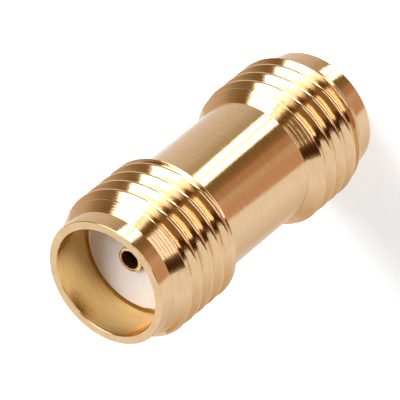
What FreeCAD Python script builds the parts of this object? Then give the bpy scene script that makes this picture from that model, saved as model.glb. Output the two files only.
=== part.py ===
"""Coaxial adapter with a threaded jack at each end, standing on its lower end.

The piece is a turned shell, open right through, with a threaded section at each end and a plain
barrel between them. Two insulators seat on the shoulders in its bore, meet in the middle and hold
a centre contact, whose flange is caught between them. Both ends of the contact are slotted sockets.

Origin at the centre of the lower end's rim, Z up along the axis. Millimetres.
"""
import FreeCAD, Part
import enum
import os
import Sketcher

SIZES = {
    # Shell, from the rim of an end inwards
    "overall_length": 14.26,
    "mouth_diameter": 4.67,
    "mouth_depth": 1.95,
    "rim_wall": 0.36,
    "edge_break": 0.04,
    "pilot_length": 0.24,
    "cone_rise": 0.105,
    "cone_length": 0.44,
    "run_in_length": 0.72,
    "crest_diameter": 6.30,
    "section_length": 4.38,
    "shoulder_chamfer": 0.15,
    "lead_length": 0.53,
    "seat_diameter": 4.34,
    "seat_length": 0.80,
    "inner_bore_diameter": 3.90,
    "barrel_wall": 0.70,
    # Insulators
    "insulator_clearance": 0.01,
    "insulator_edge": 0.04,
    # Centre contact
    "contact_diameter": 1.14,
    "contact_clearance": 0.03,
    "contact_stand": 0.10,
    "flange_diameter": 2.20,
    "flange_thickness": 0.60,
    "socket_diameter": 0.84,
    "socket_depth": 2.90,
    "drill_point": 0.25,
    "lip_radius": 0.06,
    "slot_width": 0.06,
    "slot_length": 2.20,
    "slot_angle": 20.0,
}


class End(enum.IntEnum):
    """Points of a sketch line."""
    START = 1
    STOP = 2


class Axis(enum.IntEnum):
    """Fixed lines of a sketch; the origin is the start of the horizontal one."""
    HORIZONTAL = -1
    VERTICAL = -2


doc = FreeCAD.newDocument("coaxial_adapter")


def make_sheet():
    """Write each driving dimension beside its name and give its cell that alias."""
    sheet = doc.addObject("Spreadsheet::Sheet", "Sizes")
    for row, (alias, value) in enumerate(SIZES.items(), start=1):
        sheet.set(f"A{row}", alias)
        sheet.set(f"B{row}", str(value))
        sheet.setAlias(f"B{row}", alias)
    doc.recompute()
    return sheet


def cell(text):
    """Expression in which each alias is read from the sheet."""
    words = text.split(" ")
    return " ".join(f"Sizes.{word}" if word in SIZES else word for word in words)


def origin_feature(body, role):
    """Plane or axis of the body's own origin."""
    return next(item for item in body.Origin.OriginFeatures if item.Role == role)


def make_body(label):
    """Empty body named after its node."""
    body = doc.addObject("PartDesign::Body", label)
    body.Label = label
    return body


def upright_sketch(body, name):
    """Empty sketch on the body's XZ plane: across is the radius, up is the height."""
    sketch = body.newObject("Sketcher::SketchObject", name)
    sketch.AttachmentSupport = [(origin_feature(body, "XZ_Plane"), "")]
    sketch.MapMode = "FlatFace"
    return sketch


def draw_loop(sketch, points):
    """Closed chain of lines through rough points; returns the number of its first line."""
    first = sketch.GeometryCount
    count = len(points)
    for index in range(count):
        start = FreeCAD.Vector(*points[index], 0)
        stop = FreeCAD.Vector(*points[(index + 1) % count], 0)
        sketch.addGeometry(Part.LineSegment(start, stop), False)
    for index in range(count):
        following = first + (index + 1) % count
        joint = Sketcher.Constraint("Coincident", first + index, End.STOP, following, End.START)
        sketch.addConstraint(joint)
    return first


def drive(sketch, constraint, name, text):
    """Add a constraint and take its value from the sheet."""
    number = sketch.addConstraint(constraint)
    sketch.renameConstraint(number, name)
    sketch.setExpression(f"Constraints.{name}", cell(text))


def place_corner(sketch, line, direction, text):
    """Put a line's start at a distance from the origin, or on the other axis where that is 0."""
    across = direction == "X"
    if text == "0":
        axis = Axis.VERTICAL if across else Axis.HORIZONTAL
        sketch.addConstraint(Sketcher.Constraint("PointOnObject", line, End.START, axis))
        return
    point = sketch.getPoint(line, End.START)
    rough = point.x if across else point.y
    distance = Sketcher.Constraint(f"Distance{direction}", Axis.HORIZONTAL, End.START,
                                   line, End.START, rough)
    drive(sketch, distance, f"{direction}_{line}", text)


def revolve(body, name, corners):
    """Turned solid: an outline of (radius, height) corners swept once round the Z axis."""
    sketch = upright_sketch(body, f"{name}_section")
    rough = [(1 + index % 2, 1 + index) for index in range(len(corners))]
    draw_loop(sketch, rough)
    for line, (radius, height) in enumerate(corners):
        place_corner(sketch, line, "X", radius)
        place_corner(sketch, line, "Y", height)
    turned = body.newObject("PartDesign::Revolution", name)
    turned.Profile = sketch
    turned.ReferenceAxis = (sketch, ["V_Axis"])
    turned.Angle = 360
    doc.recompute()
    return turned


def make_shell():
    """One turned piece: rim, pilot, cone, thread crest, barrel and bore."""
    body = make_body("turned_shell")
    mouth = "mouth_diameter / 2"
    rim = f"{mouth} + rim_wall"
    crest = "crest_diameter / 2"
    barrel = "inner_bore_diameter / 2 + barrel_wall"
    cone_end = "pilot_length + cone_length"
    thread_start = f"{cone_end} + run_in_length"
    seat = "seat_diameter / 2"
    inner = "inner_bore_diameter / 2"
    seat_end = "mouth_depth + seat_length"

    def from_top(height):
        return f"overall_length - ( {height} )"

    rim_end = [
        (mouth, "edge_break"),
        (f"{mouth} + edge_break", "0"),
        (f"{rim} - edge_break", "0"),
        (rim, "edge_break"),
        (rim, "pilot_length"),
        (f"{rim} + cone_rise", cone_end),
        (crest, thread_start),
    ]
    lower_lead = [
        (crest, "section_length - lead_length"),
        (barrel, "section_length"),
    ]
    upper_shoulder = [
        (barrel, from_top("section_length")),
        (f"{crest} - shoulder_chamfer", from_top("section_length")),
        (crest, from_top("section_length - shoulder_chamfer")),
    ]
    other_rim_end = [(radius, from_top(height)) for radius, height in reversed(rim_end)]
    bore_end = [
        (inner, seat_end),
        (seat, seat_end),
        (seat, "mouth_depth"),
        (mouth, "mouth_depth"),
    ]
    other_bore_end = [(radius, from_top(height)) for radius, height in reversed(bore_end)]
    bore = other_bore_end + bore_end
    outside = rim_end + lower_lead + upper_shoulder + other_rim_end
    revolve(body, "shell_turning", outside + bore)
    return body


def make_insulator(label):
    """Headed bead whose outer face lies at height 0 and whose recess takes half the flange."""
    body = make_body(label)
    length = "overall_length / 2 - mouth_depth"
    head = "seat_diameter / 2 - insulator_clearance"
    stem = "inner_bore_diameter / 2 - insulator_clearance"
    hole = "contact_diameter / 2 + contact_clearance"
    recess = "flange_diameter / 2 + contact_clearance"
    floor = f"{length} - flange_thickness / 2 - contact_clearance"
    revolve(body, f"{label}_turning", [
        (hole, "0"),
        (f"{head} - insulator_edge", "0"),
        (head, "insulator_edge"),
        (head, "seat_length"),
        (stem, "seat_length"),
        (stem, length),
        (recess, length),
        (recess, floor),
        (hole, floor),
    ])
    return body


def lip_edges(shape, radii):
    """Names of the round edges of those radii at the lowest and highest point of the shape."""
    tolerance = 1e-4
    heights = (shape.BoundBox.ZMin, shape.BoundBox.ZMax)
    names = []
    for number, edge in enumerate(shape.Edges, start=1):
        circle = edge.Curve
        if not isinstance(circle, Part.Circle):
            continue
        at_end = min(abs(circle.Center.z - height) for height in heights) < tolerance
        of_size = min(abs(circle.Radius - radius) for radius in radii) < tolerance
        if at_end and of_size:
            names.append(f"Edge{number}")
    return names


def draw_slot(sketch, name, bottom, top):
    """Rectangle as wide as a slot, centred on the axis between two heights."""
    rough_base = sketch.GeometryCount
    rough = [(-1, rough_base), (1, rough_base), (1, rough_base + 1), (-1, rough_base + 1)]
    floor = draw_loop(sketch, rough)
    right, roof, left = floor + 1, floor + 2, floor + 3
    sketch.addConstraint(Sketcher.Constraint("Horizontal", roof))
    sketch.addConstraint(Sketcher.Constraint("Vertical", right))
    sketch.addConstraint(Sketcher.Constraint("Vertical", left))
    centred = Sketcher.Constraint("Symmetric", floor, End.START, floor, End.STOP, Axis.VERTICAL)
    sketch.addConstraint(centred)
    width = Sketcher.Constraint("DistanceX", floor, End.START, floor, End.STOP, 1)
    drive(sketch, width, f"{name}_width", "slot_width")
    place_corner(sketch, floor, "Y", bottom)
    place_corner(sketch, roof, "Y", top)


def make_contact(sheet):
    """Double-ended socket, turned with a flange at mid-length and slotted at both ends."""
    body = make_body("centre_contact")
    length = "overall_length - 2 * mouth_depth + 2 * contact_stand"
    outside = "contact_diameter / 2"
    flange = "flange_diameter / 2"
    socket = "socket_diameter / 2"
    flange_low = f"( {length} ) / 2 - flange_thickness / 2"
    flange_high = f"( {length} ) / 2 + flange_thickness / 2"
    turned = revolve(body, "contact_turning", [
        (socket, "0"),
        (outside, "0"),
        (outside, flange_low),
        (flange, flange_low),
        (flange, flange_high),
        (outside, flange_high),
        (outside, length),
        (socket, length),
        (socket, f"{length} - socket_depth"),
        ("0", f"{length} - socket_depth - drill_point"),
        ("0", "socket_depth + drill_point"),
        (socket, "socket_depth"),
    ])
    radii = (sheet.contact_diameter / 2, sheet.socket_diameter / 2)
    rounding = body.newObject("PartDesign::Fillet", "lip_rounding")
    rounding.Base = (turned, lip_edges(turned.Shape, radii))
    rounding.setExpression("Radius", cell("lip_radius"))
    doc.recompute()

    sketch = upright_sketch(body, "slot_section")
    draw_slot(sketch, "lower", "0", "slot_length")
    draw_slot(sketch, "upper", f"{length} - slot_length", length)
    slots = body.newObject("PartDesign::Pocket", "slots")
    slots.Profile = sketch
    slots.SideType = "Symmetric"
    slots.setExpression("Length", cell("2 * contact_diameter"))
    doc.recompute()
    crossed = body.newObject("PartDesign::PolarPattern", "crossed_slots")
    crossed.Originals = [slots]
    crossed.Axis = (origin_feature(body, "Z_Axis"), [""])
    crossed.Angle = 90
    crossed.Occurrences = 2
    body.Tip = crossed
    doc.recompute()
    if not rounding.Shape.Volume > slots.Shape.Volume > crossed.Shape.Volume:
        raise RuntimeError("a pair of slots cuts nothing from the contact")
    return body


def lift(body, text):
    """Stand a body at a height above the lower rim."""
    body.setExpression("Placement.Base.z", cell(text))


def check(parts):
    """Stop before writing if any feature failed or a shape is empty or broken."""
    for item in doc.Objects:
        if "Invalid" in item.State or "Error" in item.State:
            raise RuntimeError(f"{item.Label} did not compute: {item.State}")
    for part in parts:
        if part.Shape.isNull() or not part.Shape.isValid():
            raise RuntimeError(f"{part.Label} has no valid shape")
        if len(part.Shape.Solids) != 1:
            raise RuntimeError(f"{part.Label} is not one solid")


sizes = make_sheet()

shell = make_shell()

lower_insulator = make_insulator("lower_insulator")
lift(lower_insulator, "mouth_depth")

upper_insulator = make_insulator("upper_insulator")
upper_insulator.Placement.Rotation = FreeCAD.Rotation(FreeCAD.Vector(1, 0, 0), 180)
lift(upper_insulator, "overall_length - mouth_depth")

contact = make_contact(sizes)
lift(contact, "mouth_depth - contact_stand")
contact.setExpression("Placement.Rotation.Angle", cell("slot_angle * 1 deg"))

doc.recompute()
pieces = [shell, lower_insulator, upper_insulator, contact]
check(pieces)
os.makedirs("parts", exist_ok=True)
for piece in pieces:
    piece.Shape.exportStep(f"parts/{piece.Label}.step")
    box = piece.Shape.BoundBox
    print(f"{piece.Label}: {piece.Shape.Volume:.3f} mm3, z {box.ZMin:.3f} to {box.ZMax:.3f},"
          f" width {box.XLength:.3f}")
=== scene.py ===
"""Gold-plated coaxial adapter: threads, fine turning marks, finishes, studio and camera.

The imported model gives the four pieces. The shell is remade with its two rolled threads and broken
edges, the contact with its sprung tips, and the insulators with their rounded rims.
"""

import math

import bpy
import bmesh
import mathutils
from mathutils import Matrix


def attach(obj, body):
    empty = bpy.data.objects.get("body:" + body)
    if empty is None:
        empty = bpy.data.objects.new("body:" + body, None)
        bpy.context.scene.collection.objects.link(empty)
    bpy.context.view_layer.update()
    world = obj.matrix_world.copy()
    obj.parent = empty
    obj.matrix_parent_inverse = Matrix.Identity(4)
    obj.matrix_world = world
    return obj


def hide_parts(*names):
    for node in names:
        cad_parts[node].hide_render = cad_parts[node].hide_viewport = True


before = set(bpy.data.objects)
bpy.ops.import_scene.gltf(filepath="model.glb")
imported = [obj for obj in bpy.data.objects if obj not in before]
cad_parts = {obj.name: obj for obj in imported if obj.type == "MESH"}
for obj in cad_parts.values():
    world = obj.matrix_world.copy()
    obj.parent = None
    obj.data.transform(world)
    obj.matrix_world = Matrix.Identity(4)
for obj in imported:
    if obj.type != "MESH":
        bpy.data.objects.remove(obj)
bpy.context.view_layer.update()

MM = 0.001
TURN = 2 * math.pi

# Shell, in millimetres from the rim of an end inwards
LENGTH = 14.26
HALF = LENGTH / 2
RIM_RADIUS = 2.695
MOUTH_RADIUS = 2.335
MOUTH_DEPTH = 1.95
SEAT_RADIUS = 2.24
SEAT_END = 2.75
RELIEF_DEPTH = 0.12
INNER_RADIUS = 1.95
CREST_RADIUS = 3.145
BARREL_RADIUS = 2.65
PILOT_END = 0.74
RUN_IN_END = 1.38
SECTION_END = 4.38
LEAD_START = 3.85
SHOULDER_CHAMFER = 0.15
EDGE_BREAK = 0.03
OUTSIDE_RADIUS = MOUTH_RADIUS + 0.05

# Points beside the bore's ends, which keep its shading straight
WALL_SUPPORT = 0.08

# Lines that the turning tool left, as distances from an end's rim
RIM_LINES = (0.83, 0.93, 1.03, 1.13, 1.23)
LEAD_LINES = (3.96, 4.09, 4.20, 4.31)
LINE_DEPTH = 0.004
LINE_HALF_WIDTH = 0.016

# Rolled thread
PITCH = 0.7056
THREAD_DEPTH = 0.36
CREST_HALF_WIDTH = 0.05
FLANK_SLOPE = math.tan(math.radians(55))
THREAD_FLOOR = BARREL_RADIUS + 0.02
RUN_OUT_LIFT = 0.1
THREAD_ROW = 0.026
ROW_MARGIN = 0.02

# Height of one crest at the front, the thread's ends, and the lengths over which they fade
LOWER_THREAD = {"crest_height": LENGTH - 11.00, "low": PILOT_END + 0.3, "high": SECTION_END - 0.4,
                "low_fade": 0.3, "high_fade": 0.1}
UPPER_THREAD = {"crest_height": LENGTH - 1.87, "low": LENGTH - SECTION_END + 0.08,
                "high": LENGTH - PILOT_END - 0.05, "low_fade": 0.25, "high_fade": 0.3}

# Insulators and contact
BEAD_RADIUS = 2.23
BEAD_HOLE = 0.55
SEAT_CLEARANCE = 0.01
CONTACT_RADIUS = 0.54
TIP_RADIUS = 0.535
TIP_LENGTH = 0.7
SOCKET_RADIUS = 0.42
TIP_HOLE = 0.38
CONTACT_STAND = 0.20
FLANGE_RADIUS = 1.10
FLANGE_HALF = 0.30
FLANGE_CLEARANCE = 0.03
SOCKET_DEPTH = 2.90
DRILL_POINT = 0.25
SLOT_WIDTH = 0.02
SLOT_LENGTH = 2.20
SLOT_ACROSS = 1.4
SLOT_OVERRUN = 0.2
SLOT_ANGLE = math.radians(20)
LEAN = (0.10, 0.10)
LEAN_REACH = 0.75

# Meshes: segments round the axis, the share of a side that a rounded edge may take, and limits
SHELL_SEGMENTS = 192
BEAD_SEGMENTS = 128
CONTACT_SEGMENTS = 96
EDGE_SHARE = 0.48
ON_AXIS = 1e-6
CRISP_ANGLE = math.radians(35)

# Studio; distances in metres
CARD_DISTANCE = 0.15
CARD_STEPS = 12
SURROUND_FILL = 0.24
FLOOR_RADIUS = 3.0
FLOOR_LIFT = 0.6

# Camera, fitted to the object's outlines
VIEW_TILT = 0.7244117
VIEW_ROLL = 0.6861636
NEAR_RIM_IN_VIEW = (-3.606, -3.179, -150.139)
LENS = 354.0


# Meshes

def soften(corners, arc_steps=4):
    """Outline of (radius, height, edge radius) corners with every edge rounded."""
    points = []
    count = len(corners)
    for index, (radius, height, edge) in enumerate(corners):
        if edge == 0:
            points.append((radius, height))
            continue
        here = mathutils.Vector((radius, height))
        before = mathutils.Vector(corners[index - 1][:2]) - here
        after = mathutils.Vector(corners[(index + 1) % count][:2]) - here
        half = before.angle(after) / 2
        reach = min(edge / math.tan(half), EDGE_SHARE * before.length, EDGE_SHARE * after.length)
        edge = reach * math.tan(half)
        centre = here + (before.normalized() + after.normalized()).normalized() * edge / math.sin(half)
        start = here + before.normalized() * reach - centre
        stop = here + after.normalized() * reach - centre
        sweep = start.angle_signed(stop)
        for step in range(arc_steps + 1):
            spoke = start.copy()
            spoke.rotate(mathutils.Matrix.Rotation(-sweep * step / arc_steps, 2))
            points.append(tuple(centre + spoke))
    return points


def add_rows(points, low, high, row):
    """Outline with extra points wherever it runs between two heights."""
    rows = []
    for index, (radius, height) in enumerate(points):
        rows.append((radius, height))
        next_radius, next_height = points[(index + 1) % len(points)]
        widen, rise = next_radius - radius, next_height - height
        inside = min(height, next_height) >= low and max(height, next_height) <= high
        extra = math.ceil(math.hypot(widen, rise) / row) - 1 if inside else 0
        for step in range(1, extra + 1):
            share = step / (extra + 1)
            rows.append((radius + widen * share, height + rise * share))
    return rows


def score_lines(points, heights):
    """Outline with a shallow notch at each height on its outside."""
    scored = []
    margin = 2 * LINE_HALF_WIDTH
    for index, (radius, height) in enumerate(points):
        scored.append((radius, height))
        next_radius, next_height = points[(index + 1) % len(points)]
        if min(radius, next_radius) < OUTSIDE_RADIUS:
            continue
        low, high = sorted((height, next_height))
        marks = [mark for mark in heights if low + margin < mark < high - margin]
        if next_height < height:
            marks.reverse()
        for mark in marks:
            for offset in (-margin, -LINE_HALF_WIDTH, 0, LINE_HALF_WIDTH, margin):
                place = mark + (offset if next_height > height else -offset)
                share = (place - height) / (next_height - height)
                depth = LINE_DEPTH if offset == 0 else 0
                scored.append((radius + (next_radius - radius) * share - depth, place))
    return scored


def other_end(corners):
    """Corners of the lower end turned into those of the upper end."""
    return [(radius, LENGTH - height, edge) for radius, height, edge in reversed(corners)]


def turned(name, outline, segments):
    """Object made by turning a closed outline round the Z axis; points on the axis become one."""
    shape = bmesh.new()
    rings = []
    for radius, height in outline:
        if radius < ON_AXIS:
            rings.append([shape.verts.new((0, 0, height * MM))] * segments)
            continue
        ring = []
        for step in range(segments):
            angle = TURN * step / segments
            place = (radius * MM * math.cos(angle), radius * MM * math.sin(angle), height * MM)
            ring.append(shape.verts.new(place))
        rings.append(ring)
    for index, ring in enumerate(rings):
        other = rings[(index + 1) % len(rings)]
        for step in range(segments):
            following = (step + 1) % segments
            corners = [ring[step], ring[following], other[following], other[step]]
            corners = list(dict.fromkeys(corners))
            if len(corners) > 2:
                shape.faces.new(corners)
    bmesh.ops.recalc_face_normals(shape, faces=shape.faces)
    return make_object(name, shape)


def make_object(name, shape):
    """Object from a finished bmesh, smooth shaded."""
    mesh = bpy.data.meshes.new(name)
    for face in shape.faces:
        face.smooth = True
    shape.to_mesh(mesh)
    shape.free()
    piece = bpy.data.objects.new(name, mesh)
    bpy.context.collection.objects.link(piece)
    return piece


def settle(piece):
    """Turn the result of a piece's modifiers into its own plain mesh."""
    bpy.context.view_layer.update()
    graph = bpy.context.evaluated_depsgraph_get()
    mesh = bpy.data.meshes.new_from_object(piece.evaluated_get(graph))
    mesh.name = piece.name
    piece.modifiers.clear()
    piece.data = mesh
    piece.data.shade_smooth()


# Node trees

def add_node(tree, kind, inputs=None, **settings):
    """Node with its settings and inputs; an input that is a socket is linked."""
    made = tree.nodes.new(kind)
    for setting, value in settings.items():
        setattr(made, setting, value)
    for key, value in (inputs or {}).items():
        if isinstance(value, bpy.types.NodeSocket):
            tree.links.new(value, made.inputs[key])
        else:
            made.inputs[key].default_value = value
    return made


def calculate(tree, operation, *values):
    """Output of a Math node."""
    inputs = dict(enumerate(values))
    return add_node(tree, "ShaderNodeMath", inputs, operation=operation).outputs[0]


def colour_ramp(tree, value, colours, low=0.0, high=1.0):
    """Colour that runs evenly through the given ones as a value goes from low to high."""
    ramp = add_node(tree, "ShaderNodeValToRGB", {0: value})
    points = ramp.color_ramp.elements
    stops = colours * 2 if len(colours) == 1 else colours
    for index, colour in enumerate(stops):
        place = low + (high - low) * index / (len(stops) - 1)
        point = points[index] if index < 2 else points.new(place)
        point.position = place
        point.color = (*colour, 1)
    return ramp.outputs[0]


def group_socket(tree, name, kind="NodeSocketFloat", way="INPUT"):
    """Named socket on the outside of a node group."""
    return tree.interface.new_socket(name=name, in_out=way, socket_type=kind)


def new_material(name):
    """Material with nodes, and its tree."""
    material = bpy.data.materials.new(name)
    material.use_nodes = True
    return material, material.node_tree


def thread_tree():
    """Geometry nodes that roll a helical groove into a turned blank between two heights."""
    tree = bpy.data.node_groups.new("rolled thread", "GeometryNodeTree")
    group_socket(tree, "Geometry", "NodeSocketGeometry")
    for name in ("Crest Radius", "Pitch", "Depth", "Crest Half Width", "Flank Slope", "Root Softness",
                 "Crest Height", "Low", "High", "Low Fade", "High Fade", "Edge Softness"):
        group_socket(tree, name)
    group_socket(tree, "Finish", "NodeSocketMaterial")
    group_socket(tree, "Geometry", "NodeSocketGeometry", "OUTPUT")
    given = add_node(tree, "NodeGroupInput").outputs
    place = add_node(tree, "GeometryNodeInputPosition").outputs[0]
    x, y, height = add_node(tree, "ShaderNodeSeparateXYZ", {0: place}).outputs

    # Depth of the groove where a point lies between two crests
    toward_front = calculate(tree, "MULTIPLY", y, -1.0)
    turns = calculate(tree, "DIVIDE", calculate(tree, "ARCTAN2", x, toward_front), TURN)
    rise = calculate(tree, "DIVIDE", calculate(tree, "SUBTRACT", height, given["Crest Height"]),
                     given["Pitch"])
    phase = calculate(tree, "FRACT", calculate(tree, "SUBTRACT", rise, turns))
    from_root = calculate(tree, "ABSOLUTE", calculate(tree, "SUBTRACT", phase, 0.5))
    from_crest = calculate(tree, "SUBTRACT", calculate(tree, "MULTIPLY", calculate(
        tree, "SUBTRACT", 0.5, from_root), given["Pitch"]), given["Crest Half Width"])
    flank = calculate(tree, "MULTIPLY", from_crest, given["Flank Slope"])
    hollow = calculate(tree, "SMOOTH_MIN", flank, given["Depth"], given["Root Softness"])

    # The groove runs out at both ends
    after_low = add_node(tree, "ShaderNodeMapRange", {
        "Value": height, "From Min": given["Low"],
        "From Max": calculate(tree, "ADD", given["Low"], given["Low Fade"])},
        interpolation_type="SMOOTHSTEP").outputs[0]
    before_high = add_node(tree, "ShaderNodeMapRange", {
        "Value": height, "From Min": given["High"],
        "From Max": calculate(tree, "SUBTRACT", given["High"], given["High Fade"])},
        interpolation_type="SMOOTHSTEP").outputs[0]
    strength = calculate(tree, "MULTIPLY", after_low, before_high)
    cut = calculate(tree, "MULTIPLY", hollow, strength)
    lifted = calculate(tree, "MULTIPLY", calculate(tree, "SUBTRACT", 1.0, strength),
                       RUN_OUT_LIFT * MM)
    groove = calculate(tree, "ADD", calculate(tree, "SUBTRACT", given["Crest Radius"], cut), lifted)

    radius = calculate(tree, "SQRT", calculate(
        tree, "ADD", calculate(tree, "MULTIPLY", x, x), calculate(tree, "MULTIPLY", y, y)))
    new_radius = calculate(tree, "SMOOTH_MIN", radius, groove, given["Edge Softness"])
    scale = calculate(tree, "DIVIDE", new_radius, radius)
    moved = add_node(tree, "ShaderNodeCombineXYZ", {
        0: calculate(tree, "MULTIPLY", x, scale), 1: calculate(tree, "MULTIPLY", y, scale),
        2: height}).outputs[0]
    above = calculate(tree, "GREATER_THAN", height, given["Low"])
    below = calculate(tree, "LESS_THAN", height, given["High"])
    outside = calculate(tree, "GREATER_THAN", radius, THREAD_FLOOR * MM)
    chosen = calculate(tree, "MULTIPLY", calculate(tree, "MULTIPLY", above, below), outside)
    shaped = add_node(tree, "GeometryNodeSetPosition", {
        "Geometry": given["Geometry"], "Selection": chosen, "Position": moved}).outputs[0]
    real = add_node(tree, "GeometryNodeRealizeInstances", {0: shaped}).outputs[0]
    finished = add_node(tree, "GeometryNodeSetMaterial", {
        "Geometry": real, "Material": given["Finish"]}).outputs[0]
    add_node(tree, "NodeGroupOutput", {0: finished})
    return tree


def roll_thread(piece, tree, finish, **sizes):
    """Add the thread to a piece; sizes are the tree's inputs by name, in millimetres."""
    modifier = piece.modifiers.new("thread", "NODES")
    modifier.node_group = tree
    for item in tree.interface.items_tree:
        name = item.name.lower().replace(" ", "_")
        if name in sizes:
            unit = 1 if name == "flank_slope" else MM
            modifier[item.identifier] = sizes[name] * unit
        elif name == "finish":
            modifier[item.identifier] = finish


# Finishes

def turning_marks():
    """Group: fine rings left by the tool and a faint grain, as a height and a mask."""
    tree = bpy.data.node_groups.new("turning marks", "ShaderNodeTree")
    for name, value in (("Ring Scale", 14.0), ("Ring Height", 1.0), ("Grain Scale", 16.0),
                        ("Grain Height", 0.25)):
        group_socket(tree, name).default_value = value
    for name in ("Height", "Wear", "Rings"):
        group_socket(tree, name, way="OUTPUT")
    given = add_node(tree, "NodeGroupInput").outputs
    place = add_node(tree, "ShaderNodeTexCoord").outputs["Object"]
    in_mm = add_node(tree, "ShaderNodeVectorMath", {0: place, 1: (1 / MM,) * 3},
                     operation="MULTIPLY").outputs[0]
    rings_at = add_node(tree, "ShaderNodeVectorMath", {0: in_mm, 1: (0.12, 0.12, 1.0)},
                        operation="MULTIPLY").outputs[0]
    rings = add_node(tree, "ShaderNodeTexNoise", {
        "Vector": rings_at, "Scale": given["Ring Scale"], "Detail": 3.0, "Roughness": 0.65}).outputs[0]
    grain = add_node(tree, "ShaderNodeTexNoise", {
        "Vector": in_mm, "Scale": given["Grain Scale"], "Detail": 2.0, "Roughness": 0.5}).outputs[0]
    wear = add_node(tree, "ShaderNodeTexNoise", {
        "Vector": in_mm, "Scale": 0.8, "Detail": 4.0}).outputs[0]
    height = calculate(tree, "ADD", calculate(tree, "MULTIPLY", rings, given["Ring Height"]),
                       calculate(tree, "MULTIPLY", grain, given["Grain Height"]))
    add_node(tree, "NodeGroupOutput", {"Height": height, "Wear": wear, "Rings": rings})
    return tree


def gold_finish(name, marks, light, deep, smooth, rough, depth, **values):
    """Polished gold plate: two close tones, uneven gloss and the marks of the tool."""
    finish, tree = new_material(name)
    shader = tree.nodes["Principled BSDF"]
    group = add_node(tree, "ShaderNodeGroup", node_tree=marks)
    for key, value in values.items():
        group.inputs[key.replace("_", " ").title()].default_value = value
    tone = colour_ramp(tree, group.outputs["Rings"], (deep, light), 0.3, 0.7)
    tree.links.new(tone, shader.inputs["Base Color"])
    gloss = add_node(tree, "ShaderNodeMapRange", {
        "Value": group.outputs["Wear"], "From Min": 0.3, "From Max": 0.7, "To Min": smooth,
        "To Max": rough}).outputs[0]
    tree.links.new(gloss, shader.inputs["Roughness"])
    bump = add_node(tree, "ShaderNodeBump", {
        "Height": group.outputs["Height"], "Distance": depth * MM, "Strength": 1.0}).outputs[0]
    tree.links.new(bump, shader.inputs["Normal"])
    shader.inputs["Metallic"].default_value = 1.0
    return finish


def bead_finish():
    """Turned white fluoropolymer: matte, faintly mottled, with a fine grain on its face."""
    finish, tree = new_material("white fluoropolymer")
    shader = tree.nodes["Principled BSDF"]
    place = add_node(tree, "ShaderNodeTexCoord").outputs["Object"]
    cloud = add_node(tree, "ShaderNodeTexNoise", {
        "Vector": place, "Scale": 900.0, "Detail": 3.0}).outputs[0]
    tone = colour_ramp(tree, cloud, ((0.82, 0.765, 0.76), (0.87, 0.82, 0.82)), 0.3, 0.7)
    tree.links.new(tone, shader.inputs["Base Color"])
    gloss = add_node(tree, "ShaderNodeMapRange", {
        "Value": cloud, "To Min": 0.42, "To Max": 0.55}).outputs[0]
    tree.links.new(gloss, shader.inputs["Roughness"])
    grain = add_node(tree, "ShaderNodeTexNoise", {
        "Vector": place, "Scale": 14000.0, "Detail": 2.0}).outputs[0]
    bump = add_node(tree, "ShaderNodeBump", {"Height": grain, "Distance": 0.004 * MM}).outputs[0]
    tree.links.new(bump, shader.inputs["Normal"])
    shader.inputs["Subsurface Weight"].default_value = 0.15
    shader.inputs["Subsurface Radius"].default_value = (0.4 * MM, 0.35 * MM, 0.3 * MM)
    shader.inputs["Subsurface Scale"].default_value = 1.0
    return finish


# Pieces

def shell_outline():
    """Closed outline of the shell as (radius, height, edge radius)."""
    rim = [
        (MOUTH_RADIUS, WALL_SUPPORT, 0),
        (MOUTH_RADIUS, 0, EDGE_BREAK),
        (RIM_RADIUS, 0, EDGE_BREAK),
        (RIM_RADIUS, PILOT_END, EDGE_BREAK),
        (CREST_RADIUS, RUN_IN_END, 0.05),
    ]
    lead = [
        (CREST_RADIUS, LEAD_START, EDGE_BREAK),
        (BARREL_RADIUS, SECTION_END, EDGE_BREAK),
    ]
    shoulder = [
        (CREST_RADIUS, SECTION_END - SHOULDER_CHAMFER, 0.04),
        (CREST_RADIUS - SHOULDER_CHAMFER, SECTION_END, 0.04),
        (BARREL_RADIUS, SECTION_END, EDGE_BREAK),
    ]
    bore = [
        (INNER_RADIUS, SEAT_END, 0),
        (SEAT_RADIUS, SEAT_END, 0),
        (SEAT_RADIUS, MOUTH_DEPTH + RELIEF_DEPTH, 0.005),
        (MOUTH_RADIUS, MOUTH_DEPTH + RELIEF_DEPTH, 0.02),
        (MOUTH_RADIUS, MOUTH_DEPTH - WALL_SUPPORT, 0),
    ]
    return rim + lead + other_end(shoulder) + other_end(rim) + other_end(bore) + bore


def line_inside(piece, radius, finish):
    """Give the faces within a radius of the axis their own finish."""
    piece.data.materials.append(finish)
    for face in piece.data.polygons:
        if math.hypot(face.center.x, face.center.y) < radius * MM:
            face.material_index = 1


def make_shell(finish, bore_finish):
    """Shell blank with both threads rolled into it."""
    outline = soften(shell_outline())
    outline = [point for index, point in enumerate(outline) if point != outline[index - 1]]
    lines = sorted([*RIM_LINES, *LEAD_LINES, *(LENGTH - line for line in RIM_LINES)])
    outline = score_lines(outline, lines)
    for low, high in ((PILOT_END, SECTION_END), (LENGTH - SECTION_END, LENGTH - PILOT_END)):
        outline = add_rows(outline, low - ROW_MARGIN, high + ROW_MARGIN, THREAD_ROW)
    piece = turned("shell", outline, SHELL_SEGMENTS)
    piece.data.materials.append(finish)
    tree = thread_tree()
    shared = {"crest_radius": CREST_RADIUS, "pitch": PITCH, "depth": THREAD_DEPTH,
              "crest_half_width": CREST_HALF_WIDTH, "flank_slope": FLANK_SLOPE, "root_softness": 0.1,
              "edge_softness": 0.02}
    for ends in (LOWER_THREAD, UPPER_THREAD):
        roll_thread(piece, tree, finish, **ends, **shared)
    settle(piece)
    # The bore's faces get their own gold, whose tint is painted bounce light
    line_inside(piece, MOUTH_RADIUS + 0.004, bore_finish)
    return piece


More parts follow.
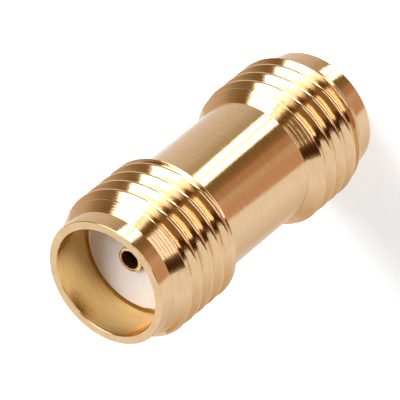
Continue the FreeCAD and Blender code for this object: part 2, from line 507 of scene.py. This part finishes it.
def make_bead(name, lower, finish):
    """One insulator; the lower one's face is at the lower mouth."""
    recess_radius = FLANGE_RADIUS + FLANGE_CLEARANCE
    recess_floor = HALF - FLANGE_HALF - FLANGE_CLEARANCE
    outline = soften([
        (BEAD_HOLE, MOUTH_DEPTH, 0.015),
        (BEAD_RADIUS, MOUTH_DEPTH, 0.02),
        (BEAD_RADIUS, SEAT_END - SEAT_CLEARANCE, 0.02),
        (INNER_RADIUS - SEAT_CLEARANCE, SEAT_END - SEAT_CLEARANCE, 0),
        (INNER_RADIUS - SEAT_CLEARANCE, HALF, 0),
        (recess_radius, HALF, 0),
        (recess_radius, recess_floor, 0),
        (BEAD_HOLE, recess_floor, 0),
    ])
    if not lower:
        outline = [(radius, LENGTH - height) for radius, height in outline]
    piece = turned(name, outline, BEAD_SEGMENTS)
    piece.data.materials.append(finish)
    lean(piece)
    return piece


def make_contact(finish, socket_finish):
    """Double-ended spring socket with four slotted fingers at each end."""
    end = MOUTH_DEPTH - CONTACT_STAND
    lower = [
        (0, end + SOCKET_DEPTH + DRILL_POINT, 0),
        (SOCKET_RADIUS, end + SOCKET_DEPTH, 0),
        (SOCKET_RADIUS, end + TIP_LENGTH, 0.1),
        (TIP_HOLE, end, 0.03),
        (TIP_RADIUS, end, 0.05),
        (CONTACT_RADIUS, end + TIP_LENGTH, 0.1),
        (CONTACT_RADIUS, HALF - FLANGE_HALF, 0),
        (FLANGE_RADIUS, HALF - FLANGE_HALF, 0),
    ]
    outline = soften(lower + other_end(lower), arc_steps=6)
    piece = turned("contact", outline, CONTACT_SEGMENTS)
    piece.data.materials.append(finish)
    shape = bmesh.new()
    size = mathutils.Matrix.Diagonal((SLOT_ACROSS * MM, SLOT_WIDTH * MM,
                                      (SLOT_LENGTH + SLOT_OVERRUN) * MM, 1))
    for low in (end - SLOT_OVERRUN, LENGTH - end - SLOT_LENGTH):
        middle = low + SLOT_LENGTH / 2 + SLOT_OVERRUN / 2
        lift = mathutils.Matrix.Translation((0, 0, middle * MM))
        for turn in (0, 1):
            box = bmesh.ops.create_cube(shape, size=1)["verts"]
            spin = mathutils.Matrix.Rotation(SLOT_ANGLE + turn * TURN / 4, 4, "Z")
            bmesh.ops.transform(shape, matrix=lift @ spin @ size, verts=box)
    cutter = make_object("slot cutter", shape)
    slots = piece.modifiers.new("slots", "BOOLEAN")
    slots.object = cutter
    slots.operation = "DIFFERENCE"
    slots.solver = "EXACT"
    slots.use_self = True
    settle(piece)
    bpy.data.objects.remove(cutter)
    piece.data.set_sharp_from_angle(angle=CRISP_ANGLE)
    # The socket's inside gets the dark brown finish, painted shade for the deep hole
    line_inside(piece, SOCKET_RADIUS + 0.005, socket_finish)
    lean(piece)
    return piece


def lean(piece):
    """Lean what lies near the axis sideways with height above the middle, as the spring contact does."""
    for vertex in piece.data.vertices:
        x, y, height = vertex.co
        share = (height - HALF * MM) / (HALF * MM - MOUTH_DEPTH * MM)
        if share > 0 and math.hypot(x, y) < LEAN_REACH * MM:
            vertex.co = (x + LEAN[0] * share * MM, y + LEAN[1] * share * MM, height)


# Studio

def direction(azimuth, elevation):
    """Unit vector from the object; azimuth 0 is the camera's side and 90 is +X, in degrees."""
    turn, lift = math.radians(azimuth), math.radians(elevation)
    return mathutils.Vector((math.cos(lift) * math.sin(turn), -math.cos(lift) * math.cos(turn),
                             math.sin(lift)))


def blend(pair, share):
    """Number between two others."""
    return pair[0] + (pair[1] - pair[0]) * share


def light_card(name, foot, head, elevations, *colours, strength=1.0, mirrored=True):
    """Curved card round the object, seen only in its reflections or else only a source of light.

    Foot and head are the azimuths of its edges at the two elevations, and the colours run evenly
    from the first edge to the last.
    """
    shape = bmesh.new()
    across = shape.verts.layers.float.new("across")
    centre = mathutils.Vector((0, 0, HALF * MM))
    grid = []
    for row in range(CARD_STEPS + 1):
        up = row / CARD_STEPS
        line = []
        for column in range(CARD_STEPS + 1):
            share = column / CARD_STEPS
            azimuth = blend((blend(foot, share), blend(head, share)), up)
            place = direction(azimuth, blend(elevations, up)) * CARD_DISTANCE
            corner = shape.verts.new(centre + place)
            corner[across] = share
            line.append(corner)
        grid.append(line)
    for line, line_above in zip(grid, grid[1:]):
        for column in range(CARD_STEPS):
            shape.faces.new((line[column], line[column + 1], line_above[column + 1],
                             line_above[column]))
    card = make_object(name, shape)
    paint, tree = new_material(name)
    tree.nodes.clear()
    share = add_node(tree, "ShaderNodeAttribute", attribute_name="across").outputs["Fac"]
    tone = colour_ramp(tree, share, colours)
    glow = add_node(tree, "ShaderNodeEmission", {"Color": tone, "Strength": strength})
    add_node(tree, "ShaderNodeOutputMaterial", {"Surface": glow.outputs[0]})
    card.data.materials.append(paint)
    card.visible_camera = False
    card.visible_shadow = False
    card.visible_glossy = mirrored
    card.visible_diffuse = not mirrored


def upright_card(name, azimuths, elevations, *colours, **more):
    """Card whose edges stand upright."""
    light_card(name, azimuths, azimuths, elevations, *colours, **more)


def make_cards():
    """Softboxes and dark cards that the gold mirrors, and the key light."""
    white = (1.0, 1.0, 1.0)
    dim_white = (0.82, 0.76, 0.74)
    olive = (0.24, 0.16, 0.07)
    brown = (0.30, 0.18, 0.08)
    umber = (0.16, 0.085, 0.03)
    black = (0.055, 0.024, 0.010)
    low = (-75, -5)
    high = (-5, 75)

    # Below the horizon: mirrored in the barrel and the pilot
    upright_card("low_box_left", (39, 50), low, white, strength=4.5)
    upright_card("low_box_seam", (35.5, 39), low, (1.0, 0.55, 0.22), strength=0.4)
    upright_card("low_box_right", (24, 35.5), low, white, strength=4.0)
    upright_card("low_side_card", (50, 74), low, (0.46, 0.38, 0.28), (0.66, 0.58, 0.48))
    upright_card("low_far_card", (74, 150), (-75, -18), (0.70, 0.62, 0.54), dim_white,
                 (0.9, 0.84, 0.82))
    upright_card("low_dark_card", (0, 24), low, (0.36, 0.20, 0.11), olive, olive)
    upright_card("low_brown_card", (-16, 0), low, (0.55, 0.34, 0.22), (0.50, 0.28, 0.16))
    upright_card("low_tan_card", (-30, -16), low, (0.66, 0.48, 0.36))
    upright_card("low_red_card", (-55.5, -30), low, (0.67, 0.41, 0.29))
    upright_card("low_back_card", (-180, -84), low, (0.86, 0.74, 0.60), (0.78, 0.66, 0.55), white)
    # Above it: mirrored in the run-in, the lead and the thread's flanks
    light_card("key_light", (40, 76), (78, 116), (-5, 69), white, strength=10.0, mirrored=False)
    light_card("key_card", (28, 58), (60, 116), high, white, strength=3.6)
    light_card("high_side_card", (58, 150), (116, 170), (-18, 75), (0.24, 0.14, 0.06),
               (0.27, 0.17, 0.08), (0.38, 0.28, 0.17), (0.62, 0.50, 0.38), (0.72, 0.60, 0.50),
               (0.74, 0.62, 0.52))
    light_card("high_dark_card", (12, 28), (12, 30), high, (0.45, 0.28, 0.10), umber, umber,
               (0.40, 0.24, 0.09))
    light_card("high_gap_card", (26, 28), (30, 60), (10, 75), (0.28, 0.17, 0.06), (0.90, 0.86, 0.72),
               white, strength=2.0)
    upright_card("high_box", (-28, 12), (-10, 18), (1.0, 1.0, 0.96), strength=2.5)
    upright_card("high_box_top", (-28, 12), (18, 36), (1.0, 1.0, 0.98), strength=1.35)
    upright_card("camera_side_card", (-28, 12), (36, 75), brown)
    light_card("high_black_card", (-46, -28), (-62, -28), high, (0.34, 0.20, 0.11), black, black,
               (0.10, 0.05, 0.02), (0.36, 0.21, 0.08))
    upright_card("crown_card", (-80, 170), (75, 86), brown)
    light_card("high_back_card", (-150, -84), (-150, -100), high, (0.62, 0.42, 0.22), white)


def make_surround():
    """White surround, dimmer as a light than it looks."""
    world = bpy.data.worlds.new("white surround")
    bpy.context.scene.world = world
    world.use_nodes = True
    tree = world.node_tree
    tree.nodes.clear()
    rays = add_node(tree, "ShaderNodeLightPath").outputs
    seen = calculate(tree, "MAXIMUM", calculate(tree, "MAXIMUM", rays["Is Camera Ray"],
                                                rays["Is Glossy Ray"]), rays["Is Transmission Ray"])
    level = add_node(tree, "ShaderNodeMapRange", {
        "Value": seen, "To Min": SURROUND_FILL, "To Max": 1.0}).outputs[0]
    surround = add_node(tree, "ShaderNodeBackground", {"Color": (1, 1, 1, 1), "Strength": level})
    add_node(tree, "ShaderNodeOutputWorld", {"Surface": surround.outputs[0]})


def make_floor():
    """Pale paper floor that keeps the object's shadow."""
    shape = bmesh.new()
    bmesh.ops.create_circle(shape, cap_ends=True, segments=96, radius=FLOOR_RADIUS)
    floor = make_object("floor", shape)
    paper, tree = new_material("white paper")
    tree.nodes.clear()
    place = add_node(tree, "ShaderNodeTexCoord").outputs["Object"]
    fibre = add_node(tree, "ShaderNodeTexNoise", {"Vector": place, "Scale": 1500.0}).outputs[0]
    bump = add_node(tree, "ShaderNodeBump", {"Height": fibre, "Distance": 0.01 * MM}).outputs[0]
    matte = add_node(tree, "ShaderNodeBsdfDiffuse", {"Color": (0.82, 0.82, 0.82, 1), "Normal": bump})
    camera_ray = add_node(tree, "ShaderNodeLightPath").outputs["Is Camera Ray"]
    lift = calculate(tree, "MULTIPLY", camera_ray, FLOOR_LIFT)
    glow = add_node(tree, "ShaderNodeEmission", {"Color": (1, 1, 1, 1), "Strength": lift})
    both = add_node(tree, "ShaderNodeAddShader", {0: matte.outputs[0], 1: glow.outputs[0]})
    add_node(tree, "ShaderNodeOutputMaterial", {"Surface": both.outputs[0]})
    floor.data.materials.append(paper)
    floor.visible_glossy = False


def make_camera():
    """Camera at the photograph's angle, placed by where the near rim's centre lies in its view."""
    axis_in_view = mathutils.Vector((0, -math.sin(VIEW_TILT), -math.cos(VIEW_TILT)))
    across = mathutils.Vector((1, 0, 0))
    right = math.cos(VIEW_ROLL) * axis_in_view - math.sin(VIEW_ROLL) * across
    up = math.sin(VIEW_ROLL) * axis_in_view + math.cos(VIEW_ROLL) * across
    back = mathutils.Vector((0, -math.cos(VIEW_TILT), math.sin(VIEW_TILT)))
    turn = mathutils.Matrix((right, up, back)).transposed()
    place = mathutils.Vector((0, 0, LENGTH)) - turn @ mathutils.Vector(NEAR_RIM_IN_VIEW)
    lens = bpy.data.cameras.new("camera")
    lens.sensor_width = 36
    lens.lens = LENS
    lens.clip_start = 0.005
    camera = bpy.data.objects.new("camera", lens)
    bpy.context.collection.objects.link(camera)
    camera.matrix_world = mathutils.Matrix.Translation(place * MM) @ turn.to_4x4()
    bpy.context.scene.camera = camera


make_camera()
make_cards()
make_surround()
make_floor()

marks = turning_marks()
shell_gold = gold_finish("gold plate", marks, light=(0.80, 0.57, 0.335), deep=(0.72, 0.50, 0.275),
                         smooth=0.07, rough=0.12, depth=0.0045)
# The bore's gold is a brighter, more saturated copy of the plate: its tint is painted light that stands
# in for light bouncing round the bore, while its rougher gloss is the bore's own
bore_gold_with_painted_bounce = gold_finish("bore gold with painted bounce", marks, light=(0.91, 0.68, 0.32), deep=(0.80, 0.55, 0.22),
                        smooth=0.12, rough=0.18, depth=0.004)
contact_gold = gold_finish("contact gold", marks, light=(0.88, 0.66, 0.36), deep=(0.84, 0.60, 0.30),
                           smooth=0.12, rough=0.18, depth=0.001, ring_scale=30.0)
# Dark, dull brown inside the contact's socket: painted shade that stands in for the darkness of the deep
# hole, not a tint of the plating
socket_painted_shade = gold_finish("socket painted shade", marks, light=(0.34, 0.19, 0.10), deep=(0.24, 0.12, 0.06),
                          smooth=0.5, rough=0.6, depth=0.001)
white_polymer = bead_finish()

shell = make_shell(shell_gold, bore_gold_with_painted_bounce)
upper_bead = make_bead("upper_bead", False, white_polymer)
lower_bead = make_bead("lower_bead", True, white_polymer)
contact = make_contact(contact_gold, socket_painted_shade)

for piece, node, slot in ((shell, "turned_shell", "gold_shell"),
                          (upper_bead, "upper_insulator", "white_insulator"),
                          (lower_bead, "lower_insulator", "white_insulator"),
                          (contact, "centre_contact", "gold_contact")):
    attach(piece, "root")
    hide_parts(node)

bpy.context.scene.view_settings.view_transform = "Standard"
